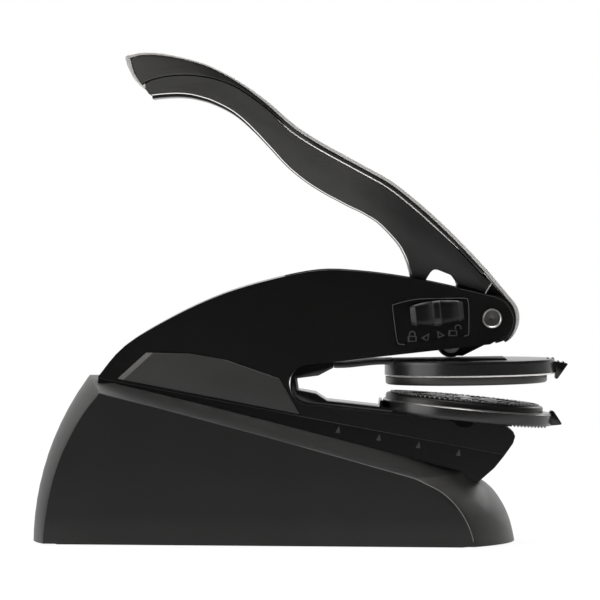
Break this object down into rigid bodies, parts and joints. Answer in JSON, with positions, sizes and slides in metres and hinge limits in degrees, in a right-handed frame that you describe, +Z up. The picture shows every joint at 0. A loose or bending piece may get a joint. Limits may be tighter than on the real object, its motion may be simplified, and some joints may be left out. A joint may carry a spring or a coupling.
{
  "type": "desk seal embosser",
  "caption": "Desk embossing seal: a curved hand lever on a black press body bends the upper half of a round die clip down onto the lower; grey wedge base.",
  "frame": {"origin": "on the desk, under the middle of the overall length, in the plane of symmetry of the outline", "axes": "+X towards the dies, +Y to the side away from the lock button, +Z up"},
  "size_m": [0.176, 0.0716, 0.1611],
  "materials": {
    "base_grey": "fine moulded grain",
    "plate_black": "plain moulding",
    "sole_rubber": "matt rubber",
    "body_black": "satin moulding",
    "label_grey": "matt plate, left bare",
    "pin_steel": "turned steel",
    "spring_steel": "spring wire",
    "core_black": "black coat on a die casting",
    "band_silver": "satin",
    "trim_black": "polished edge",
    "cap_black": "polished",
    "grip_grey": "soft matt grip",
    "button_black": "satin moulding",
    "clip_black": "satin moulding",
    "leaf_steel": "blackened spring steel",
    "holder_black": "satin moulding",
    "die_grey": "engraved acetal",
    "screw_steel": "plated screw"
  },
  "bodies": {
    "base": {"base_shell": "base_grey", "base_plate": "plate_black", "sole": "sole_rubber", "body_near": "body_black", "body_far": "body_black", "label_plate": "label_grey", "pivot_pin": "pin_steel", "thrust_washer": "pin_steel", "return_spring": "spring_steel", "base_screw_1": "screw_steel", "base_screw_2": "screw_steel", "base_screw_3": "screw_steel", "base_screw_4": "screw_steel", "body_screw_1": "screw_steel", "body_screw_2": "screw_steel", "body_screw_3": "screw_steel", "body_screw_4": "screw_steel", "shell_screw_1": "screw_steel", "shell_screw_2": "screw_steel", "shell_screw_3": "screw_steel", "shell_screw_4": "screw_steel"},
    "lever": {"lever_core": "core_black", "lever_band": "band_silver", "lever_trim": "trim_black", "lever_cap": "cap_black", "grip_near": "grip_grey", "grip_far": "grip_grey", "roller_pin": "pin_steel"},
    "roller": {"press_roller": "pin_steel"},
    "lock": {"lock_button": "button_black", "lock_bar": "pin_steel", "lock_keeper": "pin_steel"},
    "clip": {"clip_frame": "clip_black", "upper_leaf": "leaf_steel", "lower_holder": "holder_black", "lower_die": "die_grey", "lower_pointer": "clip_black"},
    "upper_half": {"upper_holder": "holder_black", "upper_die": "die_grey", "upper_pointer": "clip_black"}
  },
  "joints": [
    {"name": "lever_press", "type": "hinge", "parent": "base", "child": "lever", "pos_m": [0.0628, 0, 0.074], "axis": [0, -1, 0], "range_deg": [0, 22], "stiffness_Nm_per_rad": 1, "springref_deg": -17.19, "deforming": ["return_spring"]},
    {"name": "roller_spin", "type": "hinge", "parent": "lever", "child": "roller", "pos_m": [0.0496, 0, 0.0655], "axis": [0, -1, 0], "continuous": true},
    {"name": "lock_slide", "type": "slide", "parent": "base", "child": "lock", "axis": [-0.9954, 0, -0.0958], "range_m": [0, 0.005]},
    {"name": "clip_slide", "type": "slide", "parent": "base", "child": "clip", "axis": [0.9938, 0, -0.1115], "range_m": [0, 0.085]},
    {"name": "upper_press", "type": "hinge", "parent": "clip", "child": "upper_half", "pos_m": [0.0195, 0, 0.05859], "axis": [0, 1, 0], "range_deg": [0, 7], "deforming": ["upper_leaf"]}
  ],
  "couplings": [
    {"joint": "upper_press", "follows": "lever_press", "ratio": 0.31818}
  ]
}
